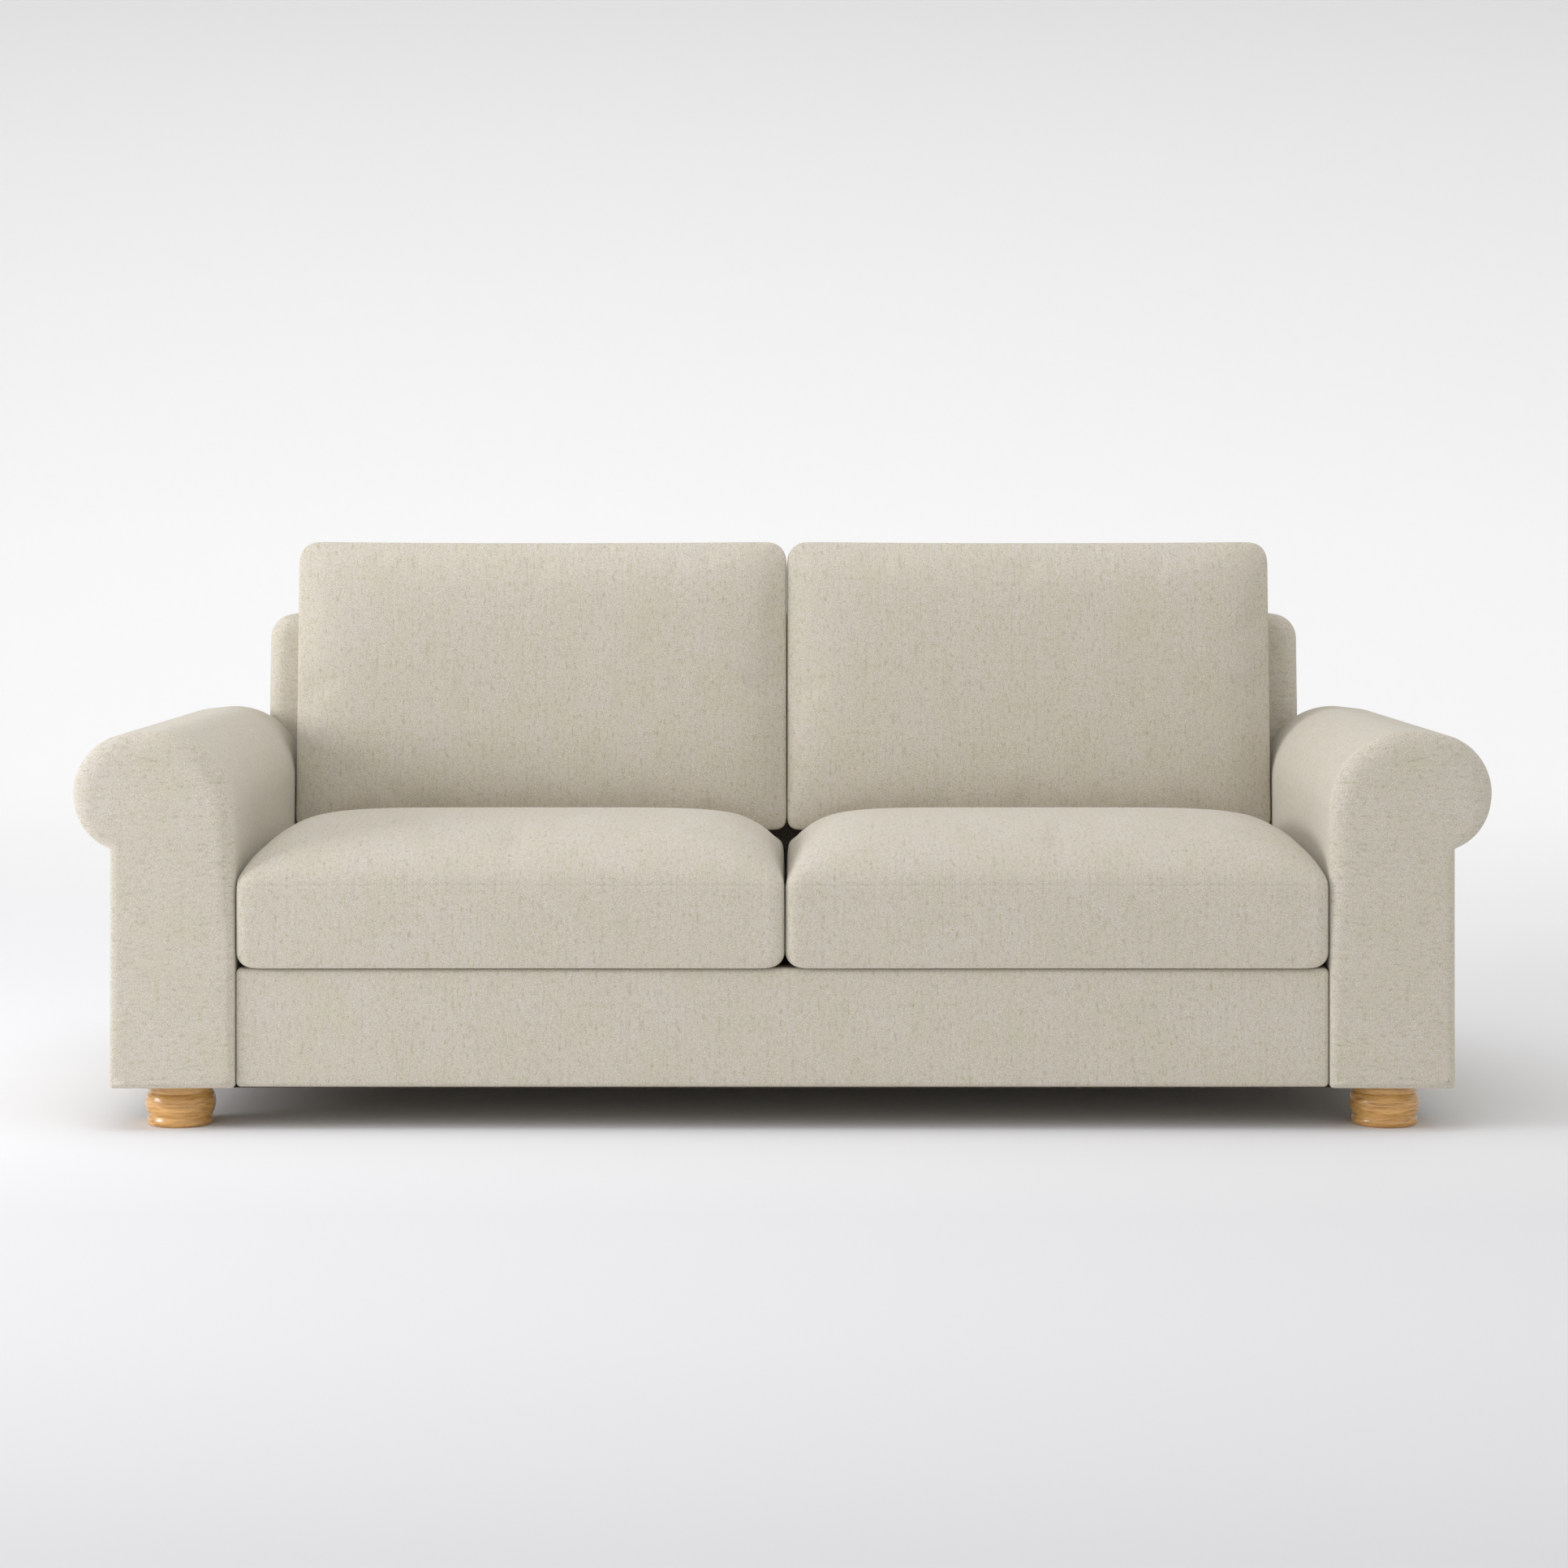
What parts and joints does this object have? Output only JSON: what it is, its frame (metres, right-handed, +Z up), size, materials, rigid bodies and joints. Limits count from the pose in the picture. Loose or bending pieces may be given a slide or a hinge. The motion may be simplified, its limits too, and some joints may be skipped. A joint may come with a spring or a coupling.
{
  "type": "english roll arm sofa",
  "caption": "Wide sofa with low scrolled roll arms, loose seat and back cushions in oatmeal woven cloth and turned oak bun feet.",
  "frame": {"origin": "on the floor under the middle of the sofa's bounding box", "axes": "+X to the right along the seat seen from the front, +Y from the front to the back, +Z up"},
  "size_m": [2.2, 0.92, 0.9106],
  "materials": {
    "linen": "matte",
    "oak_foot": "gloss",
    "beech_frame": "matte",
    "steel": "satin",
    "deck_cloth": "matte",
    "cambric": "matte",
    "foam": "matte",
    "wadding": "matte",
    "zip_tape": "matte"
  },
  "bodies": {
    "sofa_frame": {"front_seat_rail": "beech_frame", "back_seat_rail": "beech_frame", "centre_brace": "beech_frame", "back_top_rail": "beech_frame", "back_bottom_rail": "beech_frame", "back_centre_post": "beech_frame", "left_side_rail": "beech_frame", "left_front_arm_post": "beech_frame", "left_rear_arm_post": "beech_frame", "left_arm_top_rail": "beech_frame", "left_arm_facing": "beech_frame", "left_back_post": "beech_frame", "right_side_rail": "beech_frame", "right_front_arm_post": "beech_frame", "right_rear_arm_post": "beech_frame", "right_arm_top_rail": "beech_frame", "right_arm_facing": "beech_frame", "right_back_post": "beech_frame", "front_left_corner_block": "beech_frame", "front_right_corner_block": "beech_frame", "rear_left_corner_block": "beech_frame", "rear_right_corner_block": "beech_frame", "front_left_foot": "oak_foot", "front_right_foot": "oak_foot", "rear_left_foot": "oak_foot", "rear_right_foot": "oak_foot", "front_left_hanger_bolt": "steel", "front_right_hanger_bolt": "steel", "rear_left_hanger_bolt": "steel", "rear_right_hanger_bolt": "steel", "seat_spring_1": "steel", "seat_spring_2": "steel", "seat_spring_3": "steel", "seat_spring_4": "steel", "seat_spring_5": "steel", "seat_spring_6": "steel", "seat_spring_7": "steel", "seat_spring_8": "steel", "left_arm_cover": "linen", "right_arm_cover": "linen", "back_cover": "linen", "front_border": "linen", "seat_deck": "deck_cloth", "back_webbing": "deck_cloth", "dust_cover": "cambric", "left_arm_foam": "foam", "right_arm_foam": "foam", "back_foam": "foam"},
    "left_seat_cushion": {"left_seat_cushion_cover": "linen", "left_seat_cushion_zip": "zip_tape", "left_seat_cushion_core": "foam"},
    "left_back_cushion": {"left_back_cushion_cover": "linen", "left_back_cushion_zip": "zip_tape", "left_back_cushion_fill": "wadding"},
    "right_seat_cushion": {"right_seat_cushion_cover": "linen", "right_seat_cushion_zip": "zip_tape", "right_seat_cushion_core": "foam"},
    "right_back_cushion": {"right_back_cushion_cover": "linen", "right_back_cushion_zip": "zip_tape", "right_back_cushion_fill": "wadding"}
  },
  "joints": [
    {"name": "left_seat_cushion_slide", "type": "slide", "parent": "sofa_frame", "child": "left_seat_cushion", "axis": [0, -1, 0], "range_m": [0, 0.75]},
    {"name": "right_seat_cushion_slide", "type": "slide", "parent": "sofa_frame", "child": "right_seat_cushion", "axis": [0, -1, 0], "range_m": [0, 0.75]},
    {"name": "left_back_cushion_lift", "type": "slide", "parent": "sofa_frame", "child": "left_back_cushion", "axis": [0, 0, 1], "range_m": [0, 0.5]},
    {"name": "right_back_cushion_lift", "type": "slide", "parent": "sofa_frame", "child": "right_back_cushion", "axis": [0, 0, 1], "range_m": [0, 0.5]}
  ]
}
